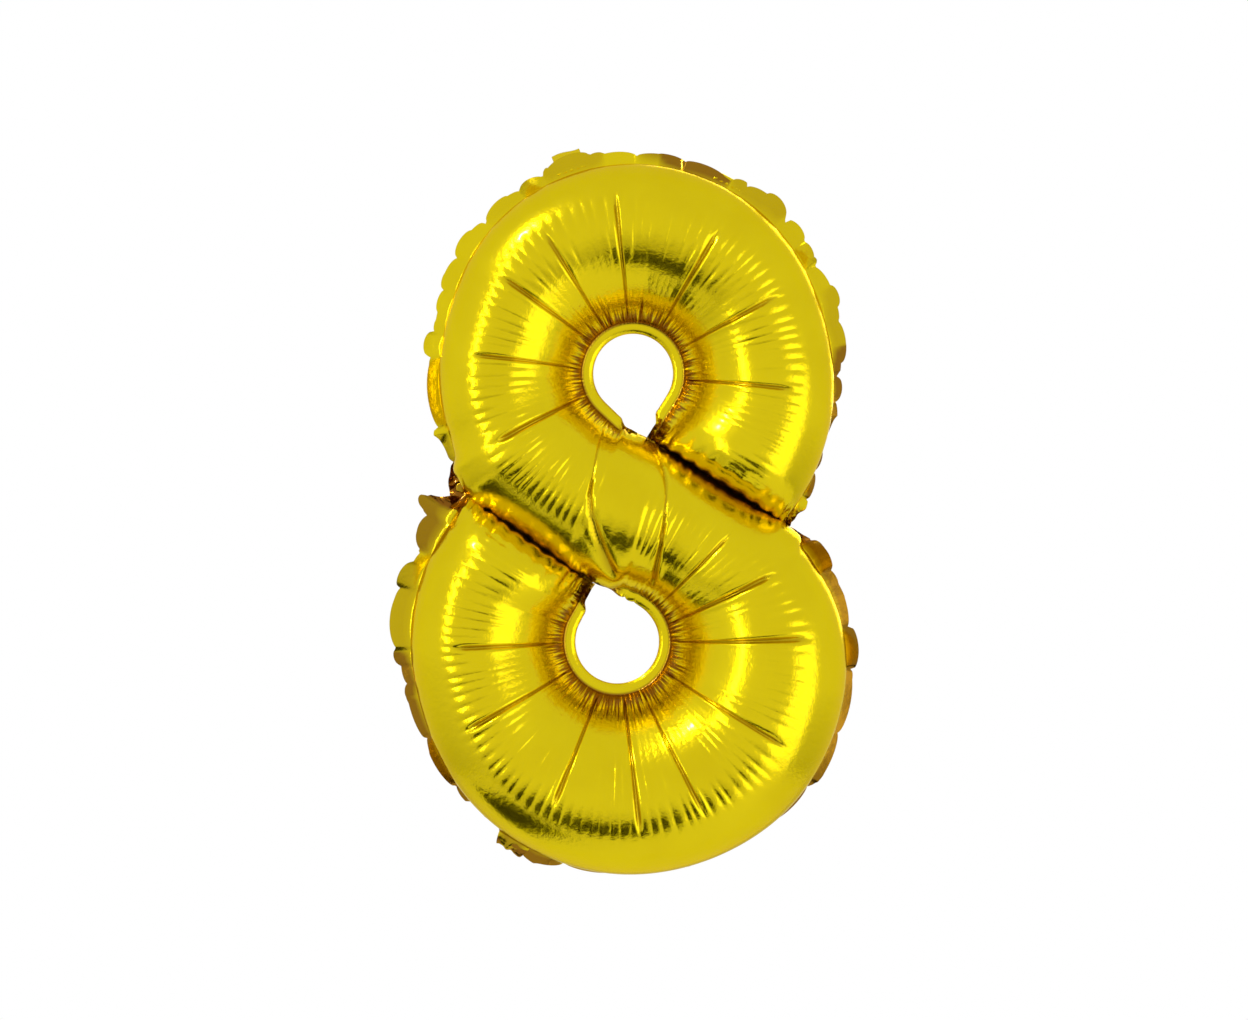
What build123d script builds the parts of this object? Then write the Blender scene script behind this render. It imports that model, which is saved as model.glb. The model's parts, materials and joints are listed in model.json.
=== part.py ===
"""Foil number balloon, figure eight: two sealed film panels inflated into an S-shaped tube.

Millimetres, +Z up, +X to the viewer's right, and the front faces -Y. The origin is on the outer
edge of the seam margin at the top of the eight, where the balloon hangs.
"""
from build123d import *
from math import acos, asin, atan2, cos, radians, sin, sqrt
import os

os.makedirs("parts", exist_ok=True)

# Driving dimensions of the inflated balloon
total_height = 350.0
upper_outer_radius = 99.8  # outer edge of the margin round the upper loop
lower_outer_radius = 108.5  # outer edge of the margin round the lower loop
loop_shift = 3.4  # the lower loop's centre stands this far left of the upper loop's
tube_half_width = 36.0  # half the inflated tube's width, seen from the front
tube_half_depth = 31.0  # half its depth, front to back
margin = 5.5  # flat heat-sealed margin outside the tube
slit = 1.6  # gap between an arm's end margin and the diagonal's margin
film = 0.4  # wall of each panel, thicker than real film

# Filling neck, tabs and welds
neck_angle = 239.0  # place of the neck round the lower loop
neck_root_width = 18.0
neck_mouth_width = 24.0
neck_length = 42.0
neck_stub = 3.0  # fixed root of the neck, outside the margin
neck_film = 0.2
neck_rest_fold = 122.0  # the neck is stored folded behind the balloon
valve_width = 13.0
valve_length = 46.0  # from the fold into the tube
valve_film = 0.15
tab_places = {"left_hanging_tab": (108.0, 65.0), "right_hanging_tab": (62.0, 100.0)}  # place, rest fold
tab_width = 14.0
tab_length = 13.0
tab_film = 0.4
eyelet_radius = 1.5
eyelet_reach = 7.5  # from the fold line to the eyelet's centre
fold_gap = 0.7  # from a fixed edge to its fold line
root_gap = 0.5  # from a fold line to the moving film
weld_radius = 2.8
weld_film = 0.3
weld_inset = 6.0  # from the end of a slit to the middle of its tack weld

# The S-shaped spine of the tube
edge = tube_half_width + margin
upper_radius = upper_outer_radius - edge
lower_radius = lower_outer_radius - edge
upper_centre = Vector(0, 0, -upper_outer_radius)
lower_centre = Vector(-loop_shift, 0, lower_outer_radius - total_height)
between = lower_centre - upper_centre
diagonal_length = sqrt(between.length**2 - (upper_radius + lower_radius) ** 2)
lean = atan2(between.X, -between.Z)
tilt = asin((upper_radius + lower_radius) / between.length)
diagonal = Vector(sin(lean + tilt), 0, -cos(lean + tilt))
arm_sweep = 345.0  # from just short of the diagonal, all the way round, to where it begins
front = (0, -1, 0)

# Each loop is drawn flat about its own centre, with the diagonal along X below it
loop_frames = (
    (upper_radius, Plane(origin=upper_centre, x_dir=diagonal, z_dir=front)),
    (lower_radius, Plane(origin=lower_centre, x_dir=-diagonal, z_dir=front)),
)


def loop(radius, half_width, half_depth, end_offset, flat=False):
    """One loop with its half of the diagonal. Its arm ends at end_offset from the spine that it meets."""
    other = upper_radius + lower_radius - radius
    start = radians(270 - arm_sweep)
    across = Plane(origin=(0, 0, 0), x_dir=(cos(start), sin(start), 0), z_dir=(sin(start), -cos(start), 0))
    along = Plane(origin=(0, -radius, 0), x_dir=(0, 1, 0), z_dir=(1, 0, 0))
    reach = 3 * (radius + half_width)
    with BuildPart() as band:
        with BuildSketch(across):
            with Locations((radius, 0)):
                section(half_width, half_depth, flat)
        revolve(axis=Axis.Z, revolution_arc=arm_sweep)
        with BuildSketch(Plane.XY.offset(-half_depth)):
            with Locations((0, end_offset - radius)):
                Rectangle(diagonal_length, reach, align=(Align.MIN, Align.MAX))
            with Locations((diagonal_length, -radius - other)):
                Circle(other + end_offset)
            with Locations((0, -radius)):
                Rectangle(reach, reach, align=(Align.MIN, Align.CENTER), mode=Mode.INTERSECT)
        extrude(amount=2 * half_depth, mode=Mode.SUBTRACT)
        with BuildSketch(along):
            section(half_width, half_depth, flat)
        extrude(amount=diagonal_length / 2)
    return band.part


def section(half_width, half_depth, flat):
    """The tube's section, or the flat margin's."""
    if flat:
        Rectangle(2 * half_width, 2 * half_depth)
    else:
        Ellipse(half_width, half_depth)


def eight(*sizes, flat=False):
    """Both loops in their places, joined at the middle of the diagonal."""
    with BuildPart() as whole:
        for radius, frame in loop_frames:
            with Locations(frame.location):
                add(loop(radius, *sizes, flat=flat))
    return whole.part


def outward(centre, radius, angle):
    """Plane on a loop's outer edge: X points outward, Y runs along the edge and Z faces the front."""
    out = Vector(cos(radians(angle)), 0, sin(radians(angle)))
    return Plane(origin=centre + out * radius, x_dir=out, z_dir=front)


def folded(plane, distance, fold):
    """The plane moved out to a fold line and turned back about it, away from the front."""
    near, turned = cos(radians(fold)), sin(radians(fold))
    return Plane(
        origin=plane.origin + plane.x_dir * distance,
        x_dir=plane.x_dir * near - plane.z_dir * turned,
        z_dir=plane.z_dir * near + plane.x_dir * turned,
    )


# Inflated tube and its margin. An arm stops short of the diagonal by its margin and the slit.
margin_end = edge + slit
tube_end = margin_end + margin
neck_plane = outward(lower_centre, lower_outer_radius, neck_angle)
with BuildPart() as shell:
    add(eight(tube_half_width, tube_half_depth, tube_end))
    add(eight(edge, film, margin_end, flat=True))
    with BuildSketch(neck_plane.offset(-film)):
        Rectangle(2 * neck_stub, neck_mouth_width, align=(Align.CENTER, Align.CENTER))
    extrude(amount=2 * film)
    add(
        eight(tube_half_width - film, tube_half_depth - film, tube_end + film),
        mode=Mode.SUBTRACT,
    )
    with BuildSketch(neck_plane.offset(-valve_film)):
        Rectangle(4 * edge, valve_width, align=(Align.CENTER, Align.CENTER))
    extrude(amount=2 * valve_film, mode=Mode.SUBTRACT)

with BuildPart() as front_panel:
    add(shell.part)
    split(bisect_by=Plane.XZ, keep=Keep.TOP)
front_panel.part.label = "front_panel"
export_step(front_panel.part, "parts/front_panel.step")

with BuildPart() as back_panel:
    add(shell.part)
    split(bisect_by=Plane.XZ, keep=Keep.BOTTOM)
back_panel.part.label = "back_panel"
export_step(back_panel.part, "parts/back_panel.step")

# Self-sealing valve: two soft strips that lie flat together from the neck's root into the tube
for name, side in (("valve_front_film", 1), ("valve_back_film", -1)):
    with BuildPart() as strip:
        with BuildSketch(neck_plane):
            with Locations((neck_stub, 0)):
                Rectangle(valve_length, valve_width, align=(Align.MAX, Align.CENTER))
        extrude(amount=side * valve_film)
    strip.part.label = name
    export_step(strip.part, f"parts/{name}.step")

# Filling neck: the two films of the tail, folded behind the balloon
neck_fold = folded(neck_plane, neck_stub + fold_gap, neck_rest_fold)
for name, side in (("neck_front_film", 1), ("neck_back_film", -1)):
    with BuildPart() as tail:
        with BuildSketch(neck_fold):
            with BuildLine():
                Polyline(
                    (root_gap, -neck_root_width / 2),
                    (root_gap + neck_length, -neck_mouth_width / 2),
                    (root_gap + neck_length, neck_mouth_width / 2),
                    (root_gap, neck_root_width / 2),
                    close=True,
                )
            make_face()
        extrude(amount=side * neck_film)
    tail.part.label = name
    export_step(tail.part, f"parts/{name}.step")

# Hanging tabs on the top margin, each with a punched eyelet, folded back
for name, (place, rest_fold) in tab_places.items():
    tab_fold = folded(outward(upper_centre, upper_outer_radius, place), fold_gap, rest_fold)
    with BuildPart() as tab:
        with BuildSketch(tab_fold.offset(-tab_film / 2)):
            with Locations((root_gap, 0)):
                Rectangle(tab_length, tab_width, align=(Align.MIN, Align.CENTER))
            with Locations((eyelet_reach, 0)):
                Circle(eyelet_radius, mode=Mode.SUBTRACT)
        extrude(amount=tab_film)
        fillet(tab.edges().filter_by(lambda e: abs(e.length - tab_film) < 1e-3), radius=2.0)
    tab.part.label = name
    export_step(tab.part, f"parts/{name}.step")

# Tack welds across both ends of each slit, on the back of the margins
slit_line = edge + slit / 2
for label, (radius, frame) in zip(("upper", "lower"), loop_frames):
    other = upper_radius + lower_radius - radius
    bend = other + slit_line  # the slit bends round the other loop's centre
    apart = between.length
    corner = acos((apart**2 + bend**2 - (radius + edge) ** 2) / (2 * apart * bend))
    turn = corner - atan2(diagonal_length, radius + other) - weld_inset / bend
    inner_end = sqrt((radius - edge) ** 2 - (slit_line - radius) ** 2)
    weld_places = {
        "notch": (diagonal_length + bend * sin(turn), bend * cos(turn) - radius - other),
        "hole": (inner_end + weld_inset, slit_line - radius),
    }
    for place, middle in weld_places.items():
        name = f"{label}_{place}_tack_weld"
        with BuildPart() as weld:
            with BuildSketch(frame.offset(-film)):
                with Locations(middle):
                    Circle(weld_radius)
            extrude(amount=-weld_film)
        weld.part.label = name
        export_step(weld.part, f"parts/{name}.step")
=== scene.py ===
"""Foil number balloon: the inflated film panels, their sealed margin, the neck, tabs, valve and welds.

The two panels are one grid of film: columns run along the S-shaped spine and rows run across it.
The film is laid out pleated and creased, inflated by a small simulation, and then meshed.
Lengths inside the film's functions are millimetres in the frame's axes, and meshes are in metres.
"""
import bpy
import numpy as np
from math import cos, pi, radians, sin
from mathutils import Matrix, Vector
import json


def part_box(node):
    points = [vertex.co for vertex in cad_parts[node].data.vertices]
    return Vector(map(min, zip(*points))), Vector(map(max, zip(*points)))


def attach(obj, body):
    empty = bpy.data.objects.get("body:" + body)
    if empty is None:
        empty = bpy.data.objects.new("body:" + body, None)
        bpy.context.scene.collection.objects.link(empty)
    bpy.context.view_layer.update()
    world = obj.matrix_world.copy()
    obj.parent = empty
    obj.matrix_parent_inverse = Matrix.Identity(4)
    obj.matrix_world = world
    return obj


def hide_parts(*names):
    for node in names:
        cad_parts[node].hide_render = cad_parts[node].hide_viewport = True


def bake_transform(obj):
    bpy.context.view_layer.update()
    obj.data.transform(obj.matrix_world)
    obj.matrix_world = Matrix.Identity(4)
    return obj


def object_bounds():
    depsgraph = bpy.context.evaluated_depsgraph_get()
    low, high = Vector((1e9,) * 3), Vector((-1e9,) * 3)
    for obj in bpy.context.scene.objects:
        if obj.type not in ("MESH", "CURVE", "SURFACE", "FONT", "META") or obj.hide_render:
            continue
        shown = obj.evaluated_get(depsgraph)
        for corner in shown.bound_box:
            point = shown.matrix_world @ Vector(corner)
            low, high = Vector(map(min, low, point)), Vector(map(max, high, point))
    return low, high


MM = 0.001

FOIL_COAT, FOIL_COAT_ROUGHNESS = 0.12, 0.10

TAB_WIDTH, TAB_LENGTH, TAB_EYELET, EYELET_RADIUS = 14.0, 13.0, 7.5, 1.5
TAB_ROOT = 5.0  # how far a tab reaches down over the margin
LOOP_MIDDLE = (0, 0, -0.24)  # a point inside the lower loop, in metres
NECK_SET_IN = 8.0
NECK_ROOT, NECK_MOUTH, NECK_LENGTH = 18.0, 24.0, 42.0
VALVE_WIDTH, VALVE_LENGTH = 12.6, 44.0
# The last is the painted shade over the tack welds, which sit in the slits.
WELD_RADIUS, WELD_SET_IN, WELD_PAINTED_SHADE = 2.4, 6.0, 0.75

# The S-shaped spine: x, z and half the tube's width at points along it, upper arm to lower arm
SPINE = [
    (41, -158, 38), (54, -138, 36.5), (60.5, -105, 35), (43, -63, 36), (0, -44.5, 37.5),
    (-42.5, -63, 35.5), (-59, -105, 33.5), (-50.5, -134, 34), (-30, -156, 33), (-3, -174.5, 33),
    (25, -192, 32), (50, -213.5, 37), (61, -243, 40.5), (43, -284, 43.5), (-5, -304, 42),
    (-52, -283, 38), (-70.5, -238, 35.5), (-63, -207, 36), (-50, -187, 37),
]
# Each hole is a teardrop: its middle, its radius and its tip, where its slit starts
UPPER_HOLE = ((0.0, -106.5), 19.3, (3.9, -136.4))
LOWER_HOLE = ((-7.7, -235.7), 20.2, (-17.0, -210.6))
MARGIN = 5.5
SLIT_GAP = 1.3  # from a seam to the middle of the slit beside it
SLIT_MARGIN = 2.8  # what shows of it in the slits, where it is crumpled
FILM_GAP = 0.12  # the two films of the margin are drawn this far apart
COLUMN = 2.2  # spacing along the spine
ROW = 3.2  # spacing across the film
FINER = (4, 2)  # finished mesh steps to each simulated one, along and across
MARGIN_ROWS = 2
SLIT_SWELL = (2.6, 3.0)  # how far film swells over a slit, from the band beside it and the arm's end
FILM_OVER_CHORD = 1.5  # film across the tube, against the tube's width
END_TURN = 46.0  # length over which the columns turn to lie along an arm's end
END_ROUND = 20.0  # length of an arm's rounded end
SIM_FRAMES = 14
CRUMPLE = (0.45, 0.10)  # share of the simulated crumples kept inside a bend, and outside it
PLEAT_SPACING = (34, 9)  # of the deep and the fine pleats that the film is laid out with
GATHER_SPACING, TOOTH_SPACING, LOBE_SPACING, PUCKER_SPACING = 4.2, 3.9, 14.0, 8.0
TUCK_PAINTED_SHADE = 0.6  # how much painted shade darkens a tuck at its bottom
RING_LEAN = 1.2  # how far back the inner edge of a hole's ring leans
BENT_PAINTED_SHADE = 0.7  # how much painted shade darkens a bent lobe of margin
TUBE_WIDTH = 70  # the tube's usual width
TIGHTEST_BEND = 1 / 60  # turn of the spine in each millimetre, at its tightest
BEND_BLEND, PLEAT_BLEND = 0.014, 0.016  # change of bend over which a bend's inside blends to its outside
HOLE_PULL, SLIT_PULL = 11, 12  # a seam nearer than this is drawn onto its hole's ring, or its slit
SLIT_SPAN = (-6, 96)  # the part of a slit's line, from its tip, that seams are drawn onto
LOOP_REACH = 85  # the spine of a hole's own loop is nearer to its middle than this
SLIT_REACH, SLIT_FADE = 13, 5  # how far from a slit its margin starts, and over how much it fades in
WHITE, BLACK_CARD = (1, 1, 1, 1), (0.01, 0.01, 0.01, 1)
FOIL_TINTS = ((0.79, 0.60, 0.002, 1), (0.90, 0.72, 0.005, 1))
# Colour of the painted shade that the depth attribute mixes into the foil, in folds, slits and bent
# margin
FOIL_PAINTED_SHADE = (0.27, 0.105, 0.006, 1)
FOIL_EDGE = (0.95, 0.78, 0.15, 1)
FOIL_ROUGHNESS = (0.13, 0.24)
VALVE_TINTS = ((0.80, 0.82, 0.84, 1), (0.90, 0.91, 0.92, 1))
VALVE_ROUGHNESS = (0.2, 0.45)
FLOOR_TINTS = ((0.80, 0.80, 0.80, 1), (0.86, 0.86, 0.86, 1))
STUDIO_GREYS = ((0.12, 0.36), (0.42, 0.78), (0.85, 0.74))  # places from below to above, and their greys
# Softboxes: name, place (x and z from the balloon's middle, y in the frame), size and power
SOFTBOXES = (
    ("key", (-1.1, -1.2, 0.25), (0.19, 0.9), 2.3),
    ("side", (1.3, -1.3, -0.45), (1.2, 1.6), 5.5),
    ("back", (0.7, 1.6, 0.6), (1.2, 1.2), 8),
    ("spark", (-0.75, -0.65, 0.87), (0.07, 0.07), 5),
)
FLAGS = (  # black cards: name, place and size, as for the softboxes
    ("low_flag", (-0.22, -0.95, -0.85), (0.8, 0.45)),
    ("corner_flag", (-0.62, -0.2, -0.9), (0.7, 0.36)),
)
CAMERA_DISTANCE = 1.5
FLOOR_DROP, FLOOR_REACH = 0.85, 1.4  # how far under the balloon the floor is, and half its width
VIEW_WIDTH = 0.6015  # width of the camera's view where the balloon is

# Deep creases: their bearings round each hole, in degrees
UPPER_CREASES = (96, 60, 123, 143, 174, 204, 27, -8)
LOWER_CREASES = (182, 212, 250, 278, 297, 328, 359, 17, 40)
TUCK_SLANT = 40.0  # the diagonal's tucks hang upright, so they drift this far along the spine
DIAGONAL_TUCKS = ((-14.0, -166.0), (10.5, -182.0))
SLITS = (((4, -136), (73, -180)), ((-17, -210), (-88, -158)))  # each from its hole's tip to its notch
# Margin that stands out further: a point near it, how much further, half its length, and how much
# painted shade it gets.
# It is bent back out of sight where the distance is negative.
LOBES = (
    ((0, -3), 2.0, 26.0, 0.0), ((-31, -6), 3.0, 9.0, 0.3), ((-58, -18), 3.0, 11.0, 0.1),
    ((-76, -35), 2.0, 11.0, 0.0), ((-88, -58), 3.0, 13.0, 0.0), ((-94, -82), 1.2, 14.0, 0.0),
    ((-94, -122), 2.5, 26.0, 0.0), ((-90, -153), -5.0, 9.0, 0.3), ((-92, -168), 10.0, 8.0, 0.8),
    ((-98, -181), 7.0, 9.0, 0.8), ((-106, -201), 0.5, 9.0, 0.0), ((-112, -224), 7.0, 14.0, 0.35),
    ((-110, -252), 1.0, 8.0, 0.9), ((-105, -275), -0.8, 10.0, 0.9), ((-92, -302), -0.8, 15.0, 0.9),
    ((-72, -325), -3.0, 9.0, 0.9), ((-50, -342), 0.6, 9.0, 0.9), ((12, -348), -4.0, 36.0, 0.3),
    ((60, -328), -2.2, 22.0, 0.7), ((88, -302), 0.0, 16.0, 0.9), ((103, -262), -0.8, 24.0, 0.9),
    ((101, -215), 1.5, 20.0, 0.9), ((88, -190), 2.0, 10.0, 0.3), ((30, -8), 0.8, 11.0, 0.9),
    ((60, -23), 6.0, 9.0, 0.35), ((76, -40), 4.5, 12.0, 0.1), ((93, -62), 3.5, 8.0, 0.1),
    ((98, -83), 4.0, 12.0, 0.3), ((99, -105), 0.2, 9.0, 0.9), ((100, -125), -1.8, 12.0, 0.9),
    ((96, -150), -4.0, 14.0, 0.9),
)
# Where the tabs and the neck leave the margin: x, z and half their width
FLAPS = ((-31, -4, 8.0), (47, -11, 8.0), (-61, -338, 10.0))


# ---------------------------------------------------------------- the band's outline

def spline(values, at):
    """Natural cubic spline through values at 0, 1, 2 and so on, read at the places in at."""
    values = np.array(values, float)
    count = len(values)
    system, right_side = np.eye(count), np.zeros(values.shape)
    for i in range(1, count - 1):
        system[i, i - 1:i + 2] = 1, 4, 1
        right_side[i] = 6 * (values[i + 1] - 2 * values[i] + values[i - 1])
    curve = np.linalg.solve(system, right_side)
    k = np.clip(at.astype(int), 0, count - 2)
    t = (at - k)[:, None]
    straight = values[k] * (1 - t) + values[k + 1] * t
    return straight + ((1 - t) ** 3 - (1 - t)) * curve[k] / 6 + (t**3 - t) * curve[k + 1] / 6


def smooth(values, width):
    """Running average along the first axis, with the ends held."""
    pad = [(width, width)] + [(0, 0)] * (values.ndim - 1)
    padded = np.pad(values, pad, "edge")
    total = sum(padded[k:k + len(values)] for k in range(2 * width + 1))
    return total / (2 * width + 1)


def turn(vectors, angles):
    """Plane vectors turned left by the angles."""
    c, s = np.cos(angles), np.sin(angles)
    return np.stack([c * vectors[:, 0] - s * vectors[:, 1], s * vectors[:, 0] + c * vectors[:, 1]], 1)


def ease(x):
    """Smooth step from 0 to 1."""
    x = np.clip(x, 0, 1)
    return x * x * (3 - 2 * x)


def in_slit(points):
    """1 for plane points beside a slit, falling to 0 away from it."""
    gap = np.full(points.shape[:-1], np.inf)
    for tip, notch in SLITS:
        start, line = np.array(tip, float), np.subtract(notch, tip).astype(float)
        t = np.clip((points - start) @ line / (line @ line), 0, 1)
        gap = np.minimum(gap, np.linalg.norm(points - start - t[..., None] * line, axis=-1))
    return ease((SLIT_REACH - gap) / SLIT_FADE)


def inside_bend(bend, side, blend=BEND_BLEND):
    """1 where a side is the inside of a bend, and 0 where it is the outside. Side 1 is the left seam."""
    return ease(0.5 + side * bend / blend)


def teardrop(radius, tip_distance, cosine):
    """Distance from a hole's middle to the seam round it, at a bearing of that cosine from its tip."""
    off_tip = np.arccos(np.clip(cosine, -1, 1))
    tangent = np.arccos(radius / tip_distance)
    return (radius + MARGIN) / np.cos(np.clip(tangent - off_tip, 0, None))


class Band:
    """The S-shaped band: its spine, and the two seams' points for every column."""

    def __init__(self):
        dense = spline(SPINE, np.linspace(0, len(SPINE) - 1, 6000))
        steps = np.linalg.norm(np.diff(dense[:, :2], axis=0), axis=1)
        run = np.concatenate([[0], np.cumsum(steps)])
        self.count = int(round(run[-1] / COLUMN)) + 1
        self.run = np.linspace(0, run[-1], self.count)
        self.middle = np.stack([np.interp(self.run, run, dense[:, k]) for k in (0, 1)], 1)
        half = np.interp(self.run, run, dense[:, 2])
        along = np.gradient(self.middle, self.run, axis=0)
        heading = np.unwrap(np.arctan2(along[:, 1], along[:, 0]))
        self.along = np.stack([np.cos(heading), np.sin(heading)], 1)
        self.bend = smooth(np.gradient(heading, self.run), 4)
        self.to_end = np.minimum(self.run, self.run[-1] - self.run)
        normal = np.stack([-np.sin(heading), np.cos(heading)], 1)
        across = normal.copy()
        for (tip, notch), end, distance in zip(SLITS, (0, -1), (self.run, self.run[-1] - self.run)):
            lie = np.subtract(notch, tip) / np.linalg.norm(np.subtract(notch, tip))
            lie = lie * np.sign(normal[end] @ lie)
            gap = np.arctan2(normal[:, 0] * lie[1] - normal[:, 1] * lie[0], normal @ lie)
            share = np.clip(1 - distance / END_TURN, 0, 1) ** 1.6
            turned = turn(normal, gap * share)
            across = np.where(share[:, None] > 0, turned, across)
        squareness = np.clip(np.sum(across * normal, 1), 0.5, 1)
        reach = half / squareness
        self.left = self.drawn(self.middle + across * reach[:, None])
        self.right = self.drawn(self.middle - across * reach[:, None])
        self.chord = np.linalg.norm(self.right - self.left, axis=1)
        self.width = self.chord * squareness
        self.side = (self.right - self.left) / self.chord[:, None]

    def drawn(self, seam):
        """A seam drawn onto the hole that it goes round, and along the slit that it lies beside."""
        seam = seam.copy()
        for middle, radius, tip in (UPPER_HOLE, LOWER_HOLE):
            away, to_tip = seam - np.array(middle), np.subtract(tip, middle)
            distance, tip_distance = np.linalg.norm(away, axis=1), np.linalg.norm(to_tip)
            wanted = teardrop(radius, tip_distance, away @ to_tip / distance / tip_distance)
            outer = self.middle - np.array(middle)
            far = np.linalg.norm(outer, axis=1)
            weight = ease((HOLE_PULL - np.abs(distance - wanted)) / 5)
            weight = weight * (distance < far) * (far < LOOP_REACH)
            spread = ease((self.to_end - 12) / 30)[:, None]
            toward = (1 - spread) * away / distance[:, None] + spread * outer / far[:, None]
            toward /= np.linalg.norm(toward, axis=1, keepdims=True)
            wanted = teardrop(radius, tip_distance, toward @ to_tip / tip_distance)
            target = np.array(middle) + toward * wanted[:, None]
            seam += (target - seam) * weight[:, None]
        beside = in_slit(seam) * ease((self.to_end - 25) / 15)
        for tip, notch in SLITS:
            line = np.subtract(notch, tip) / np.linalg.norm(np.subtract(notch, tip))
            square = np.array([-line[1], line[0]])
            reach = (seam - np.array(tip)) @ line
            gap = (seam - np.array(tip)) @ square
            mine = (np.abs(gap) < SLIT_PULL) * (reach > SLIT_SPAN[0]) * (reach < SLIT_SPAN[1])
            wanted = np.sign(np.mean(gap[mine > 0])) * SLIT_GAP if mine.any() else 0.0
            seam += square * ((wanted - gap) * beside * mine)[:, None]
        return smooth(seam, 3)

    def nearest(self, point):
        """The column whose spine point is nearest."""
        return int(np.argmin(np.linalg.norm(self.middle - np.array(point), axis=1)))

    def at_bearing(self, hole, bearing):
        """The column that a ray from a hole's centre crosses."""
        ray = np.array([cos(radians(bearing)), sin(radians(bearing))])
        away = self.middle - np.array(hole[0])
        off = np.abs(away[:, 0] * ray[1] - away[:, 1] * ray[0])
        wrong = (away @ ray < 0) | (np.linalg.norm(away, axis=1) > 95)
        return int(np.argmin(off + 1000 * wrong))


# ---------------------------------------------------------------- the film's shape across the tube

def shoot(slope, curl, near, length, steps=300):
    """Film from a seam at distance near from the bend's centre, curling more the further out it is."""
    step = length / steps
    out, height, angle = near, 0.0, slope
    path = [(out, height)]
    for _ in range(steps):
        halfway = angle - 0.5 * curl * out * step
        out += cos(halfway) * step
        height += sin(halfway) * step
        angle -= curl * out * step
        path.append((out, height))
    return np.array(path)


def profile(bend, rows):
    """Height and place across a tube of unit width, for film with no tension round the bend."""
    centre = 1 / max(bend * TUBE_WIDTH, 0.005)
    near, length = centre - 0.5, FILM_OVER_CHORD
    slope, curl, nudge = 1.5, 2.8 / length / centre, 1e-5
    for _ in range(25):
        end = shoot(slope, curl, near, length)[-1]
        miss = end - (near + 1, 0)
        if abs(miss).max() < nudge:
            break
        by_slope = (shoot(slope + nudge, curl, near, length)[-1] - end) / nudge
        by_curl = (shoot(slope, curl * (1 + nudge), near, length)[-1] - end) / (curl * nudge)
        change = np.linalg.solve(np.stack([by_slope, by_curl], 1), miss)
        slope -= np.clip(change[0], -0.3, 0.3)
        curl -= np.clip(change[1], -0.3 * curl, 0.3 * curl)
    path = shoot(slope, curl, near, length)
    place = np.linspace(0, len(path) - 1, rows)
    whole = np.arange(len(path))
    out, height = [np.interp(place, whole, path[:, k]) for k in (0, 1)]
    return np.stack([out - near, height], 1)


def profiles(band, rows):
    """The profile of every column, interpolated between a few bends. Column 0 is across, 1 is height."""
    bends = np.linspace(0, TIGHTEST_BEND, 6)
    table = np.array([profile(b, rows) for b in bends])
    grade = np.clip(np.abs(band.bend) / bends[-1], 0, 1) * (len(bends) - 1)
    low = np.minimum(grade.astype(int), len(bends) - 2)
    share = (grade - low)[:, None, None]
    shape = table[low] * (1 - share) + table[low + 1] * share
    other = shape[:, ::-1].copy()
    other[:, :, 0] = 1 - other[:, :, 0]
    return np.where((band.bend >= 0)[:, None, None], shape, other)


# ---------------------------------------------------------------- the film's grid, as laid out

class Film:
    """Both films as one array: layer, column, row, xyz. Rows and columns outside the seam are margin."""

    def __init__(self, band):
        self.band = band
        self.rows = int(round(FILM_OVER_CHORD * TUBE_WIDTH / ROW))
        self.i = np.arange(-MARGIN_ROWS, band.count + MARGIN_ROWS)
        self.j = np.arange(-MARGIN_ROWS, self.rows + 1 + MARGIN_ROWS)
        self.column = np.clip(self.i, 0, band.count - 1)
        self.row = np.clip(self.j, 0, self.rows)
        self.beyond_end = self.i - self.column
        self.beyond_side = self.j - self.row
        inside_i = (self.i > 0) & (self.i < band.count - 1)
        inside_j = (self.j > 0) & (self.j < self.rows)
        self.welded = ~(inside_i[:, None] & inside_j[None, :])
        self.bend = band.bend[self.column]
        self.place = np.empty((2, len(self.i), len(self.j), 3))
        self.lay()

    def lay(self):
        """Smooth inflated film between the seams, and flat margin outside them."""
        band = self.band
        shape = profiles(band, self.rows + 1)
        lift = np.sqrt(np.clip(1 - (1 - np.clip(band.to_end / END_ROUND, 0, 1)) ** 2, 0, 1))
        narrow = MARGIN - SLIT_MARGIN
        width = {-1: MARGIN - narrow * in_slit(band.left), 1: MARGIN - narrow * in_slit(band.right)}
        beyond = self.beyond_side / MARGIN_ROWS
        for a, c in enumerate(self.column):
            out = np.where(beyond < 0, width[-1][c], width[1][c]) * beyond
            flat = band.left[c] + (shape[c, self.row, 0] * band.chord[c] + out)[:, None] * band.side[c]
            if self.beyond_end[a]:
                end = band.along[c] * np.sign(self.beyond_end[a])
                end = end - (end @ band.side[c]) * band.side[c]
                end = end / np.linalg.norm(end) * SLIT_MARGIN
                flat = flat + end * abs(self.beyond_end[a]) / MARGIN_ROWS
            height = shape[c, self.row, 1] * band.width[c] * lift[c] * (self.beyond_side == 0)
            height = height * (self.beyond_end[a] == 0)
            self.place[:, a, :, 0] = flat[:, 0]
            self.place[:, a, :, 2] = flat[:, 1]
            self.place[0, a, :, 1] = -height
            self.place[1, a, :, 1] = height


# ---------------------------------------------------------------- pleats and creases

def crease_places(run, spacing, jitter, own):
    """Places along a run, at a spacing that varies by the jitter."""
    places = np.cumsum(spacing * own.uniform(1 - jitter, 1 + jitter, int(2 * run[-1] / spacing)))
    return places[places < run[-1] - 2]


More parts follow.
